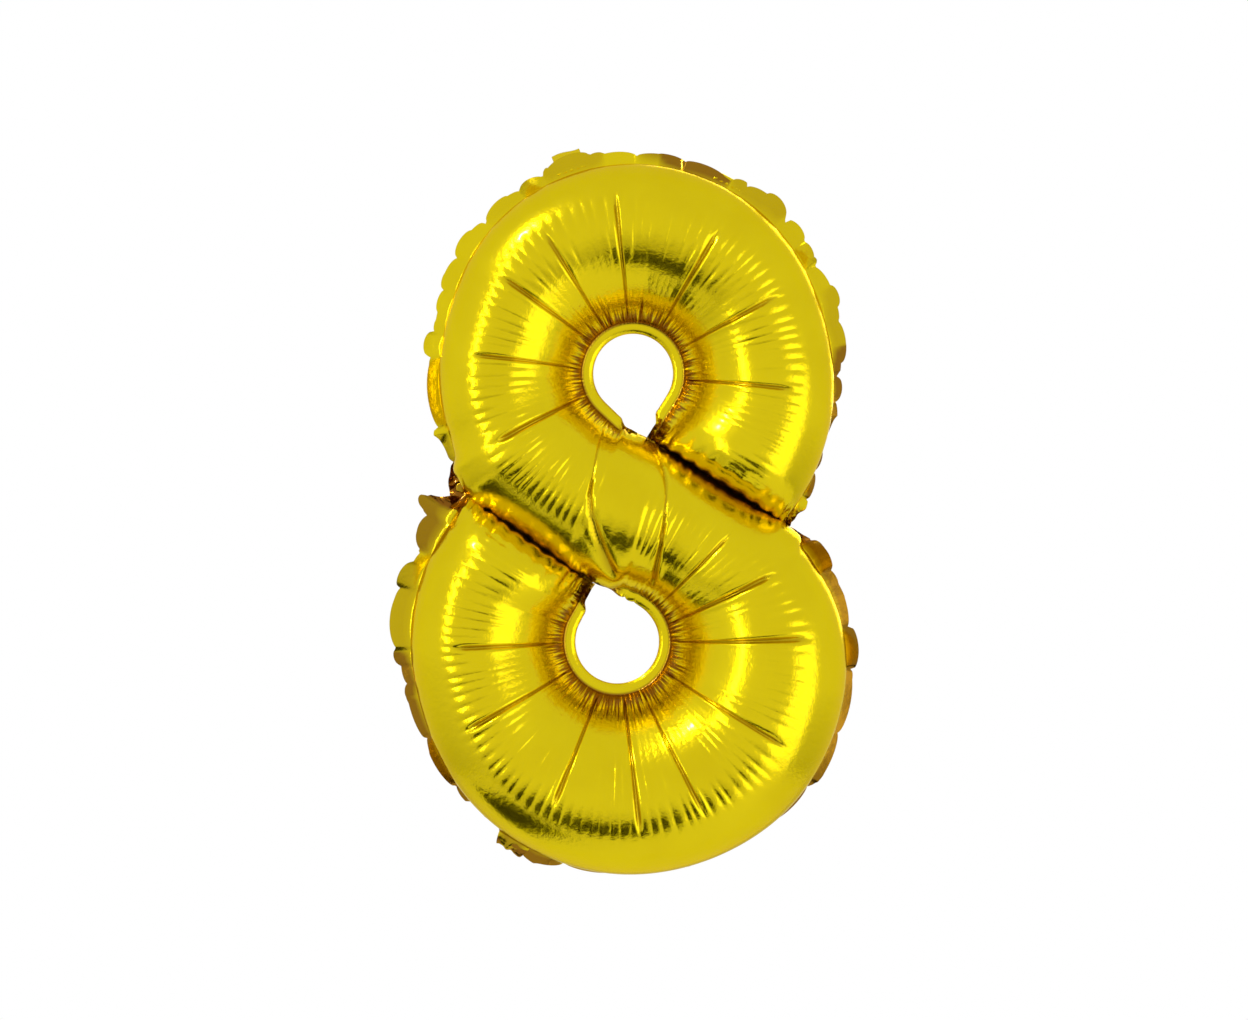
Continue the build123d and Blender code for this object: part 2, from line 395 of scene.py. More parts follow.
def lobes(run, share, places, amplitude, reach, own):
    """Rounded lobes of film between creases, fading with the share of the way in from their seam."""
    edges = np.concatenate([[run[0] - 9], np.sort(places), [run[-1] + 9]])
    phase = np.interp(run, edges, np.arange(len(edges)))
    lobe = np.minimum(phase.astype(int), len(edges) - 2)
    width = np.diff(edges)
    size = own.uniform(0.5, 1.3, len(width)) * np.clip(width / np.median(width), 0.3, 1.6)
    fade = reach * np.interp(phase, np.arange(len(edges)), own.uniform(0.55, 1.2, len(edges)))
    t = share[None, :] / fade[:, None]
    rise = np.clip(t / 0.15, 0, 1)
    fall = np.clip(1 - t, 0, 1)
    bulge = amplitude * size[lobe] * (np.abs(np.sin(pi * phase)) ** 0.8 - 0.6)
    return bulge[:, None] * rise * fall * fall * (3 - 2 * fall)


def normals(place):
    """Unit normals of a grid of points."""
    along = np.gradient(place, axis=0)
    across = np.gradient(place, axis=1)
    normal = np.cross(along, across)
    return normal / np.maximum(np.linalg.norm(normal, axis=2, keepdims=True), 1e-9)


def main_creases(band):
    """Places along the spine of the deep creases round the two holes."""
    columns = [band.at_bearing(UPPER_HOLE, b) for b in UPPER_CREASES]
    columns += [band.at_bearing(LOWER_HOLE, b) for b in LOWER_CREASES]
    return band.run[np.array(columns)]


def pleat(film, places, inner, outer, own):
    """Pleats from both seams. inner and outer are each (amplitude, reach), for a bend's two sides."""
    run = film.band.run[film.column] + film.beyond_end * 1e-3
    share = film.row / film.rows
    height = np.zeros((len(run), len(share)))
    for side, from_seam in ((1, share), (-1, 1 - share)):
        tight = inside_bend(film.bend, side, PLEAT_BLEND)[:, None]
        height += tight * lobes(run, from_seam, places, *inner, own)
        height += (1 - tight) * lobes(run, from_seam, places, *outer, own)
    return height * (~film.welded)


# ---------------------------------------------------------------- inflating the film

def cloth_film(film, front, back, scale):
    """The laid film as one airtight bag, with its groups of airtight and held points."""
    m = MARGIN_ROWS
    start = np.concatenate([film.place[0].reshape(-1, 3), film.place[1][~film.welded]]) * scale
    faces = [quads(front)[:, ::-1], quads(back[m:-m, m:-m])]
    mesh = bpy.data.meshes.new("film")
    mesh.from_pydata(start.tolist(), [], np.concatenate(faces).tolist())
    piece = bpy.data.objects.new("film", mesh)
    bpy.context.scene.collection.objects.link(piece)
    airtight = np.ones(len(start), bool)
    margin = np.ones(front.shape, bool)
    margin[m:-m, m:-m] = False
    airtight[:margin.size] = ~margin.ravel()
    piece.vertex_groups.new(name="air").add(np.nonzero(airtight)[0].tolist(), 1.0, "REPLACE")
    hold = piece.vertex_groups.new(name="hold")
    hold.add(np.nonzero(film.welded.ravel())[0].tolist(), 1.0, "REPLACE")
    return piece


def blow_up(piece, frames):
    """Runs the cloth simulation on the bag, and returns its points."""
    scene = bpy.context.scene
    cloth = piece.modifiers.new("Cloth", "CLOTH")
    settings = cloth.settings
    settings.quality = 6
    settings.mass = 0.05
    settings.tension_stiffness = settings.compression_stiffness = 60
    settings.shear_stiffness = 20
    settings.bending_model = "ANGULAR"
    settings.bending_stiffness = 0.02
    settings.tension_damping = settings.compression_damping = settings.shear_damping = 5
    settings.bending_damping = 0.5
    settings.air_damping = 4
    settings.use_pressure = True
    settings.uniform_pressure_force = 10
    settings.vertex_group_pressure = "air"
    settings.vertex_group_mass = "hold"
    settings.pin_stiffness = 5
    settings.effector_weights.gravity = 0
    cloth.collision_settings.use_collision = False
    scene.frame_start, scene.frame_end = 1, frames
    cloth.point_cache.frame_start, cloth.point_cache.frame_end = 1, frames
    for frame_number in range(1, frames + 1):
        scene.frame_set(frame_number)
    blown = piece.evaluated_get(bpy.context.evaluated_depsgraph_get()).data
    place = np.empty(len(blown.vertices) * 3)
    blown.vertices.foreach_get("co", place)
    return place.reshape(-1, 3)


def inflate(film, frames):
    """Blows the laid film up, ten times real size, and keeps a share of its crumples."""
    scale = 10 * MM
    count = film.welded.size
    front = np.arange(count).reshape(film.welded.shape)
    back = front.copy()
    back[~film.welded] = count + np.arange((~film.welded).sum())
    piece = cloth_film(film, front, back, scale)
    place = blow_up(piece, frames) / scale
    mesh = piece.data
    bpy.data.objects.remove(piece)
    bpy.data.meshes.remove(mesh)
    bpy.context.scene.frame_set(1)
    change = np.stack([place[front], place[back]]) - film.smooth
    broad = smooth(np.swapaxes(change, 0, 1), 5)
    broad = np.moveaxis(smooth(np.moveaxis(broad, 2, 0), 2), 0, 2)
    broad = np.swapaxes(broad, 0, 1)
    share = film.row / film.rows
    side = inside_bend(film.bend, 1)[:, None]
    inward = side * share[None, :] + (1 - side) * (1 - share[None, :])
    crumple = CRUMPLE[1] + (CRUMPLE[0] - CRUMPLE[1]) * ease((0.72 - inward) / 0.25)
    end = ease(film.band.to_end[film.column] / 55)[:, None]
    crumple = (CRUMPLE[1] + (crumple - CRUMPLE[1]) * end)[None, :, :, None]
    near_end = (0.4 + 0.6 * end)[None, :, :, None]
    kept = (change - broad) * crumple + broad * near_end
    film.place = film.smooth + kept * ~film.welded[None, :, :, None]


def quads(grid):
    """The four corners of every face of a grid of vertex numbers."""
    corners = [grid[:-1, :-1], grid[1:, :-1], grid[1:, 1:], grid[:-1, 1:]]
    return np.stack(corners, -1).reshape(-1, 4)


# ---------------------------------------------------------------- the finished film

def refine(values, finer):
    """Splits each step of the first axis, with the seams kept sharp."""
    seams = (0, MARGIN_ROWS, len(values) - 1 - MARGIN_ROWS, len(values) - 1)
    parts = []
    for low, high in zip(seams, seams[1:]):
        at = np.linspace(0, high - low, (high - low) * finer + 1)
        flat = values[low:high + 1].reshape(high - low + 1, -1)
        part = spline(flat, at).reshape((len(at),) + values.shape[1:])
        parts.append(part if not parts else part[1:])
    return np.concatenate(parts)


def refine_grid(values):
    """A finer grid of the same film."""
    finer = refine(values, FINER[0])
    finer = refine(np.swapaxes(finer, 0, 1), FINER[1])
    return np.swapaxes(finer, 0, 1)


class Details:
    """What is too fine to simulate: tucks, gathers and margin lobes, on the finer grid."""

    def __init__(self, film):
        self.band = band = film.band
        self.own = np.random.default_rng(21)
        share = film.row / film.rows
        beyond = film.beyond_side / MARGIN_ROWS
        end = film.beyond_end / MARGIN_ROWS
        by_column = [band.run[film.column], film.bend, end]
        toward_end = band.along * np.sign(band.run - band.run[-1] / 2)[:, None]
        toward_end -= np.sum(toward_end * band.side, 1)[:, None] * band.side
        toward_end /= np.linalg.norm(toward_end, axis=1, keepdims=True)
        by_column += [band.side[film.column][:, k] for k in (0, 1)]
        by_column += [in_slit(band.left)[film.column], in_slit(band.right)[film.column]]
        by_column += [toward_end[film.column][:, k] for k in (0, 1)]
        column = refine(np.stack(by_column, 1), FINER[0])
        self.run, self.bend, self.beyond_end = column[:, 0], column[:, 1], column[:, 2]
        self.side, self.slit = column[:, 3:5], {1: column[:, 5], -1: column[:, 6]}
        self.toward_end = column[:, 7:9]
        row = refine(np.stack([share, beyond], 1), FINER[1])
        self.share, self.beyond_side = row[:, 0], row[:, 1]
        self.inside = ((self.beyond_side == 0)[None, :] & (self.beyond_end == 0)[:, None]).astype(float)
        self.main = main_creases(band)
        self.diagonal = band.run[[band.nearest(p) for p in DIAGONAL_TUCKS]]

    def from_seam(self, side):
        """Share of the way in from a seam. Side 1 is the left seam, and side -1 the right."""
        return self.share if side == 1 else 1 - self.share

    def inner(self, side):
        """1 where a side is the inside of a bend, and 0 where it is the outside."""
        return inside_bend(self.bend, side)

    def tuck(self, place, start, stop, width, depth, slant=0.0):
        """One pinched fold across the film, a groove between two ridges, widest near its far end."""
        middle = place + (slant + 0.8 * self.own.standard_normal()) * (self.share - 0.5)
        t = np.clip((self.share - start) / (stop - start), 0, 1)
        open_by = width * (0.35 + 0.65 * t) * np.sqrt(np.clip((1.001 - t) * 8, 0, 1))
        window = ease(t * 10) * ease((1 - t) * 9)
        x = (self.run[:, None] - middle[None, :]) / np.maximum(open_by, 0.3)[None, :]
        groove = window * (0.9 * np.abs(x) - 1) * np.exp(-np.abs(x) ** 1.5)
        self.groove = np.maximum(self.groove, -groove)
        return depth * groove

    def height(self):
        """Height of the folds over the film, in its own direction."""
        own = self.own
        total = np.zeros((len(self.run), len(self.share)))
        self.groove = total.copy()
        gathers = crease_places(self.run, GATHER_SPACING, 0.4, own)
        teeth = crease_places(self.run, TOOTH_SPACING, 0.3, own)
        phase = np.interp(self.run, teeth, np.arange(len(teeth)))
        comb = (np.abs(np.sin(pi * phase)) ** 0.7 - 0.6) * smooth(own.uniform(0.0, 1.6, len(phase)), 9)
        depth = np.interp(self.run, teeth, own.uniform(0.30, 0.52, len(teeth)))
        for side in (1, -1):
            share = self.from_seam(side)
            inner = self.inner(side)[:, None]
            total += inner * lobes(self.run, share, gathers, 0.8, 0.30, own)
            band = ease((share[None, :] - depth[:, None]) / 0.08) * ease((0.68 - share[None, :]) / 0.06)
            faint = ease(share[None, :] / 0.1) * ease((0.6 - share[None, :]) / 0.2)
            total += inner * comb[:, None] * (0.50 * band + 0.05 * faint)
            total += (1 - inner) * lobes(self.run, share, gathers, 0.45, 0.07, own)
        total += self.puckers()
        for place in self.main:
            side = 1 if np.interp(place, self.run, self.bend) > 0 else -1
            share = self.share
            self.share = self.from_seam(side)
            start, stop = 0.02, own.uniform(0.58, 0.68)
            total += self.tuck(place, start, stop, own.uniform(1.4, 2.2), own.uniform(1.7, 2.5))
            self.share = share
        for place in self.diagonal:
            total += self.tuck(place, 0.10, 0.46, 1.5, 1.0, TUCK_SLANT)
            total += self.tuck(place, 0.40, 0.84, 3.0, 2.4, TUCK_SLANT)
        return total * self.inside

    def swell(self):
        """Shift of the film in the plane where it swells over a slit, so that the tubes nearly meet."""
        to_end = np.minimum(self.run, self.run[-1] - self.run)
        hill = ease(to_end / 1.5) * ease((30 - to_end) / 28)
        along = (hill[:, None] * self.inside * SLIT_SWELL[1])[:, :, None] * self.toward_end[:, None, :]
        across = np.zeros_like(self.inside)
        for side in (1, -1):
            share = self.from_seam(side)
            hill = ease(share / 0.06) * ease((0.4 - share) / 0.3)
            beside = (self.slit[side] * ease((to_end - 12) / 20))[:, None]
            across += side * -beside * hill * SLIT_SWELL[0]
        return along + (across * self.inside)[:, :, None] * self.side[:, None, :]

    def loose(self):
        """1 where the margin is loose, and 0 on the rings round the holes."""
        left = (self.share < 0.5)[None, :]
        return 1 - np.where(left, self.inner(1)[:, None], self.inner(-1)[:, None])

    def puckers(self):
        """Short folds across an arm's end, and across the film beside a slit."""
        own = self.own
        to_end = np.minimum(self.run, self.run[-1] - self.run)
        across = crease_places(self.share * 100, PUCKER_SPACING, 0.4, own)
        phase = np.interp(self.share * 100, across, np.arange(len(across)))
        off_seams = ease(self.share / 0.1), ease((1 - self.share) / 0.1)
        fold = (np.abs(np.sin(pi * phase)) ** 0.7 - 0.5) * off_seams[0] * off_seams[1]
        total = (ease(to_end / 3) * ease((17 - to_end) / 13))[:, None] * 1.3 * fold[None, :]
        along = crease_places(self.run, PUCKER_SPACING, 0.5, own)
        for side in (1, -1):
            folds = lobes(self.run, self.from_seam(side), along, 1.2, 0.22, own)
            total += self.slit[side][:, None] * folds
        return total

    def shade(self):
        """How much painted shade darkens the film, 0 to 1: in tucks, beside the holes' rings and the
        slits, and at the arms' ends.
        """
        total = TUCK_PAINTED_SHADE * self.groove
        tips = smooth(self.own.uniform(0.01, 0.21, len(self.run)), 1)[:, None]
        lumps = np.clip(0.75 + smooth(self.own.normal(0, 1.6, len(self.run)), 4), 0.25, 1)
        for side in (1, -1):
            share = self.from_seam(side)[None, :]
            on_film = (self.beyond_side * side >= 0)[None, :]
            gather = ease((tips - share) / 0.06) * on_film
            total = np.maximum(total, self.inner(side)[:, None] * gather)
            slit = (self.slit[side] * lumps)[:, None] * ease((0.04 - share) / 0.035)
            total = np.maximum(total, slit)
        to_end = np.minimum(self.run, self.run[-1] - self.run)
        total = np.maximum(total, (ease((3 - to_end) / 2.5) * lumps)[:, None])
        return np.maximum(total, ((self.beyond_end != 0) * lumps)[:, None])

    def margin(self):
        """Shift of the margin and the film beside it, outward in the plane and back, and the painted
        shade of its lobes.
        """
        own, band = self.own, self.band
        outward = np.zeros((len(self.run), len(self.share)))
        back, painted_shade = outward.copy(), outward.copy()
        for side in (1, -1):
            outer = ((1 - self.inner(side)) * (1 - self.slit[side]))[:, None]
            creases = crease_places(self.run, LOBE_SPACING, 0.5, own)
            edges = np.concatenate([[-9], creases, [self.run[-1] + 9]])
            phase = np.interp(self.run, edges, np.arange(len(edges)))
            lobe = np.minimum(phase.astype(int), len(edges) - 2)
            full = np.abs(np.sin(pi * phase)) ** 0.4
            far = np.where(self.beyond_side * side < 0, np.abs(self.beyond_side), 0)[None, :]
            near = ease(1 - self.from_seam(side) / 0.09)[None, :]
            wide = own.uniform(-1.0, 1.8, len(edges))[lobe]
            tilt = own.normal(0.0, 2.2, len(edges))[lobe]
            pinch = near * (full - 1)[:, None] * 1.3
            outward += outer * (pinch + far * ((full - 1) * 1.5 + wide)[:, None])
            back += outer * far * (tilt * full)[:, None]
            for point, extra, half, colour in LOBES:
                seam = band.left if side == 1 else band.right
                gap = np.linalg.norm(seam - np.array(point), axis=1)
                if gap.min() > 18:
                    continue
                x = (self.run - band.run[gap.argmin()]) / half
                hump = np.sqrt(np.clip(1 - x * x, 0, 1))[:, None] * far
                outward += extra * hump
                back += max(0, -extra) * hump
                # A lobe's listed painted shade, growing out towards its edge.
                painted_shade = np.maximum(painted_shade, colour * np.minimum(1, 3 * hump))
            calm = np.ones(len(self.run))
            for x, z, half in FLAPS:
                gap = np.linalg.norm((band.left if side == 1 else band.right) - np.array([x, z]), axis=1)
                if gap.min() < 12:
                    calm *= ease((np.abs(self.run - band.run[gap.argmin()]) - half) / 6)
            back *= np.where(far > 0, calm[:, None], 1)
            ring = (self.inner(side) * (1 - self.slit[side]))[:, None] * far
            back += ring * (RING_LEAN - 1.6 * np.sin(pi * far))
            crumple = smooth(own.normal(0, 1, (len(self.run), len(self.share))), 2) * 7
            back += self.slit[side][:, None] * far * (crumple - 1.5)
        crumple = smooth(own.normal(0, 1, outward.shape), 2) * 6
        back -= np.abs(self.beyond_end)[:, None] * (0.8 + crumple)
        return outward, back, painted_shade


def film_mesh(name, place, coordinates, outward):
    """A mesh of a grid of points in millimetres, with its flat coordinates as UVs."""
    faces = quads(np.arange(place.shape[0] * place.shape[1]).reshape(place.shape[:2]))
    if not outward:
        faces = faces[:, ::-1]
    mesh = bpy.data.meshes.new(name)
    mesh.from_pydata((place.reshape(-1, 3) * MM).tolist(), [], faces.tolist())
    layer = mesh.uv_layers.new(name="film")
    layer.data.foreach_set("uv", coordinates.reshape(-1, 2)[faces.ravel()].ravel())
    mesh.shade_smooth()
    piece = bpy.data.objects.new(name, mesh)
    bpy.context.scene.collection.objects.link(piece)
    return piece


def paint_shade(piece, shade):
    """Gives each point of a foil piece its share of painted shade, 0 to 1, as its depth attribute."""
    depth = piece.data.attributes.new("depth", "FLOAT", "POINT")
    depth.data.foreach_set("value", np.ravel(shade))


# ---------------------------------------------------------------- materials

def new_material(name):
    """A material's node tree, its main shader, and a function that adds a node."""
    material = bpy.data.materials.new(name)
    material.use_nodes = True
    tree = material.node_tree
    shader = tree.nodes["Principled BSDF"]

    def add(kind, **values):
        node = tree.nodes.new(kind)
        for key, value in values.items():
            if key in node.inputs:
                node.inputs[key].default_value = value
            else:
                setattr(node, key, value)
        return node

    return material, tree.links, shader, add


def noise(links, add, **values):
    """A noise fixed to the piece."""
    place, texture = add("ShaderNodeTexCoord"), add("ShaderNodeTexNoise", **values)
    links.new(place.outputs["Object"], texture.inputs["Vector"])
    return texture.outputs["Fac"]


def tinted(links, add, drive, tints):
    """A colour that a noise moves between two tints."""
    ramp = add("ShaderNodeValToRGB")
    for element, tint in zip(ramp.color_ramp.elements, tints):
        element.color = tint
    links.new(drive, ramp.inputs["Fac"])
    return ramp.outputs["Color"]


def uneven(links, add, drive, span):
    """A value that a noise moves between two ends."""
    value = add("ShaderNodeMapRange", **dict(zip(("To Min", "To Max"), span)))
    links.new(drive, value.inputs["Value"])
    return value.outputs["Result"]


def gold_foil():
    """Metallised film: lemon gold with painted shade mixed in by its depth attribute, fine crinkles and
    slightly uneven gloss.
    """
    material, links, shader, add = new_material("crinkled_foil")
    cloud = noise(links, add, Scale=38.0, Detail=3.0)
    crinkle = noise(links, add, Scale=420.0, Detail=4.0, Roughness=0.55)
    # The depth attribute is painted shade: it mixes the base colour towards the shade colour.
    depth = add("ShaderNodeAttribute", attribute_name="depth")
    painted_shade = add("ShaderNodeMix", data_type="RGBA")
    painted_shade.inputs["B"].default_value = FOIL_PAINTED_SHADE
    links.new(depth.outputs["Fac"], painted_shade.inputs["Factor"])
    links.new(tinted(links, add, cloud, FOIL_TINTS), painted_shade.inputs["A"])
    links.new(painted_shade.outputs["Result"], shader.inputs["Base Color"])
    links.new(uneven(links, add, cloud, FOIL_ROUGHNESS), shader.inputs["Roughness"])
    bump = add("ShaderNodeBump", Strength=0.25, Distance=0.0006)
    links.new(crinkle, bump.inputs["Height"])
    links.new(bump.outputs["Normal"], shader.inputs["Normal"])
    shader.inputs["Coat Weight"].default_value = FOIL_COAT
    shader.inputs["Coat Roughness"].default_value = FOIL_COAT_ROUGHNESS
    shader.inputs["Metallic"].default_value = 1.0
    shader.inputs["Specular Tint"].default_value = FOIL_EDGE
    return material


def valve_film():
    """Clear polyethylene with a faint haze."""
    material, links, shader, add = new_material("hazy_film")
    haze = noise(links, add, Scale=300.0, Detail=3.0)
    links.new(uneven(links, add, haze, VALVE_ROUGHNESS), shader.inputs["Roughness"])
    links.new(tinted(links, add, haze, VALVE_TINTS), shader.inputs["Base Color"])
    shader.inputs["Transmission Weight"].default_value = 0.7
    return material


def pale_floor():
    """Pale matt paper with a trace of mottle."""
    material, links, shader, add = new_material("floor_paper")
    mottle = add("ShaderNodeTexNoise", Scale=14.0, Detail=3.0)
    links.new(tinted(links, add, mottle.outputs["Fac"], FLOOR_TINTS), shader.inputs["Base Color"])
    shader.inputs["Roughness"].default_value = 0.8
    return material


# ---------------------------------------------------------------- the scene

def area_light(name, place, target, size, power):
    """A rectangular softbox aimed at a point."""
    light = bpy.data.lights.new(name, "AREA")
    light.shape = "RECTANGLE"
    light.size, light.size_y = size
    light.energy = power
    lamp = bpy.data.objects.new(name, light)
    lamp.location = place
    lamp.rotation_euler = (Vector(target) - Vector(place)).to_track_quat("-Z", "Y").to_euler()
    bpy.context.scene.collection.objects.link(lamp)
    return lamp


def flag(name, place, target, size):
    """A black card that shows only in reflections."""
    width, height = size[0] / 2, size[1] / 2
    corners = [(-width, -height, 0), (width, -height, 0), (width, height, 0), (-width, height, 0)]
    mesh = bpy.data.meshes.new(name)
    mesh.from_pydata(corners, [], [(0, 1, 2, 3)])
    material, links, shader, add = new_material(name)
    shader.inputs["Base Color"].default_value = BLACK_CARD
    shader.inputs["Roughness"].default_value = 1.0
    mesh.materials.append(material)
    card = bpy.data.objects.new(name, mesh)
    card.location = place
    card.rotation_euler = (Vector(target) - Vector(place)).to_track_quat("Z", "Y").to_euler()
    card.visible_camera = False
    bpy.context.scene.collection.objects.link(card)


def surroundings():
    """A white backdrop for the camera, and in reflections a studio that is dim below."""
    world = bpy.data.worlds.new("studio")
    world.use_nodes = True
    nodes, links = world.node_tree.nodes, world.node_tree.links
    background = nodes["Background"]
    place = nodes.new("ShaderNodeTexCoord")
    split = nodes.new("ShaderNodeSeparateXYZ")
    links.new(place.outputs["Generated"], split.inputs["Vector"])
    ramp = nodes.new("ShaderNodeValToRGB")
    ramp.color_ramp.elements.new(0.5)
    for element, (position, grey) in zip(ramp.color_ramp.elements, STUDIO_GREYS):
        element.position = position
        element.color = (grey, grey, grey, 1)
    height = nodes.new("ShaderNodeMapRange")
    height.inputs["From Min"].default_value = -1.0
    links.new(split.outputs["Z"], height.inputs["Value"])
    links.new(height.outputs["Result"], ramp.inputs["Fac"])
    seen = nodes.new("ShaderNodeLightPath")
    mix = nodes.new("ShaderNodeMix")
    mix.data_type = "RGBA"
    links.new(seen.outputs["Is Camera Ray"], mix.inputs["Factor"])
    links.new(ramp.outputs["Color"], mix.inputs["A"])
    mix.inputs["B"].default_value = WHITE
    links.new(mix.outputs["Result"], background.inputs["Color"])
    return world


def floor_grid(middle, height):
    """Points of a square of floor under the balloon."""
    line = np.linspace(-FLOOR_REACH, FLOOR_REACH, 9)
    x, y = np.meshgrid(middle.x + line, line, indexing="ij")
    return np.stack([x, y, np.full(x.shape, height)], -1)


def studio(low, high):
    """Surroundings, softboxes, and the camera straight in front of the box from low to high."""
    scene = bpy.context.scene
    middle = (low + high) / 2
    scene.view_settings.view_transform = "Standard"
    scene.world = surroundings()
    for name, (x, y, z), size, power in SOFTBOXES:
        area_light(name, (middle.x + x, y, middle.z + z), middle, size, power)
    for name, (x, y, z), size in FLAGS:
        flag(name, (middle.x + x, y, middle.z + z), middle, size)
    floor = grid_piece("floor", floor_grid(middle, low.z - FLOOR_DROP))
    floor.data.materials.append(pale_floor())
    camera = bpy.data.cameras.new("camera")
    camera.lens = 36 * CAMERA_DISTANCE / VIEW_WIDTH
    eye = bpy.data.objects.new("camera", camera)
    eye.location = (middle.x, -CAMERA_DISTANCE, middle.z)
    eye.rotation_euler = (pi / 2, 0, 0)
    scene.collection.objects.link(eye)
    scene.camera = eye


# ---------------------------------------------------------------- the small pieces

def finish_piece(piece, material, body, *nodes):
    """Gives a piece its material, its body and the CAD nodes that it stands for."""
    piece.data.materials.append(material)
    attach(piece, body)
    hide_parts(*nodes)


def hinge_axes(frame, joint_name, node):
    """A flap's hinge point, and the ways along the hinge, out along the flap, and out of the margin."""
    joint = next(j for j in frame["joints"] if j["name"] == joint_name)
    origin = np.array(joint["pos_m"], float)
    along = np.array(joint["axis"], float)
    low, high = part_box(node)
    out = (np.array(low) + np.array(high)) / 2 - origin
    out -= (out @ along) * along
    out /= np.linalg.norm(out)
    radial = np.cross(along, (0, 1, 0))
    return origin, along, out, radial * np.sign(radial @ (origin - LOOP_MIDDLE))


def over_the_fold(length, set_in, radial, out, turn_length):
    """A flap's middle line in millimetres from its hinge, and its heading: out, then over."""
    bend = ease(length / turn_length)[:, None]
    heading = (1 - bend) * radial + bend * out
    heading /= np.linalg.norm(heading, axis=1, keepdims=True)
    step = np.diff(length, prepend=length[0])[:, None]
    return np.cumsum(heading * step, 0) - set_in * radial, heading


def grid_piece(name, place, closed=False, thickness=0.0):
    """A piece from a grid of points in metres, smooth, and thickened if it is to be."""
    numbers = np.arange(place.shape[0] * place.shape[1]).reshape(place.shape[:2])
    if closed:
        numbers = np.concatenate([numbers, numbers[:1]])
    mesh = bpy.data.meshes.new(name)
    mesh.from_pydata(place.reshape(-1, 3).tolist(), [], quads(numbers).tolist())
    mesh.shade_smooth()
    piece = bpy.data.objects.new(name, mesh)
    bpy.context.scene.collection.objects.link(piece)
    if thickness:
        solid = piece.modifiers.new("thickness", "SOLIDIFY")
        solid.thickness = thickness
        solid.offset = 0
    return piece


def tab(frame, side, material):
    """A hanging tab: welded film folded at the margin's edge, crimped, with a round eyelet."""
    name = side + "_hanging_tab"
    origin, along, out, radial = hinge_axes(frame, side + "_tab_fold", name)
    own = np.random.default_rng(len(name))
    half, above, below = TAB_WIDTH / 2, TAB_LENGTH - TAB_EYELET, TAB_EYELET + TAB_ROOT
    corners = np.arctan2([above, above, -below, -below], [half, -half, -half, half])
    angles = np.sort(np.concatenate([np.linspace(-pi, pi, 72, endpoint=False), corners]))
    direction = np.stack([np.cos(angles), np.sin(angles)], 1)
    middle = np.array([0.0, TAB_EYELET])
    upright = np.where(direction[:, 1] > 0, above, below) / np.maximum(np.abs(direction[:, 1]), 1e-6)
    rim = np.minimum(half / np.maximum(np.abs(direction[:, 0]), 1e-6), upright)
    t = np.linspace(0, 1, 14)[None, :]
    radius = EYELET_RADIUS + (rim[:, None] - EYELET_RADIUS) * t
    flat = middle + direction[:, None, :] * radius[:, :, None]
    across, length = flat[:, :, 0], flat[:, :, 1]
    fine = np.linspace(0, TAB_LENGTH + TAB_ROOT, 80)
    spine, heading = over_the_fold(fine, TAB_ROOT, radial, out, TAB_ROOT + 3)
    at = length + TAB_ROOT
    middle_line = np.stack([np.interp(at, fine, spine[:, k]) for k in range(3)], -1)
    off = np.stack([np.interp(at, fine, np.cross(along, heading)[:, k]) for k in range(3)], -1)
    wave = 0.25 * np.sin(across * 0.45 + own.uniform(0, 6)) * np.clip(length / 6, 0, 1)
    curl = -0.7 * np.clip(length / TAB_LENGTH, 0, 1) ** 2 * (1 + 0.3 * np.sin(across * 0.3 + 1))
    crimp = 0.08 * np.abs(np.sin(across * 1.8)) * np.clip(1 - length / 5, 0, 1)
    lift = (wave + curl + crimp)[:, :, None]
    place = origin + MM * (across[:, :, None] * along + middle_line + lift * off)
    piece = grid_piece(name + "_foil", place, closed=True, thickness=0.35 * MM)
    finish_piece(piece, material, side + "_tab", name)
    return piece


def neck(frame, material):
    """The filling neck's two films, gathered at the margin, rounded over its fold and hanging behind."""
    origin, along, out, radial = hinge_axes(frame, "neck_fold", "neck_front_film")
    own = np.random.default_rng(5)
    line = np.linspace(0, NECK_LENGTH + NECK_SET_IN, 70)
    s = np.linspace(-1, 1, 48)[None, :]
    spine, heading = over_the_fold(line, NECK_SET_IN, radial, out, NECK_SET_IN + 6)
    length = line[:, None] - NECK_SET_IN
    t = np.clip(length / NECK_LENGTH, 0, 1)
    half = (NECK_ROOT + (NECK_MOUTH - NECK_ROOT) * t) / 2 * (1 - 0.35 * np.exp(-((length - 3) / 8) ** 2))
    face = np.cross(along, heading)
    gathers = np.sin(s * 7 + 1.2 * np.sin(length / 7)) + 0.4 * np.sin(s * 12 + length / 5)
    gather = 0.28 * gathers * (0.25 + np.exp(-np.clip(length, 0, 99) / 9)) * ease((length + 8) / 7)
    droop = 1.2 * np.sin(length / 11 + s) * ease(length / 15)
    for layer, side in (("front", 1), ("back", -1)):
        pillow = side * (0.15 + 0.9 * (1 - s * s) * ease(length / 8))
        lumps = own.normal(0, 1, (70, 48))
        for _ in range(2):
            lumps = smooth(smooth(lumps, 6).T, 8).T
        lumps = 0.4 * lumps / lumps.std()
        lift = gather + droop + pillow + lumps * ease(line / 10)[:, None]
        place = spine[:, None, :] + (half * s)[:, :, None] * along + lift[:, :, None] * face[:, None, :]
        piece = grid_piece("neck_" + layer + "_foil", origin + MM * place, thickness=0.2 * MM)
        piece.data.materials.append(material)
        # Painted shade on the neck near its fold, broken by its lumps.
        paint_shade(piece, np.clip(0.8 - 0.6 * lumps, 0, 0.95) * ease((24 - length) / 12))
        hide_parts("neck_" + layer + "_film")
        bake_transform(piece)


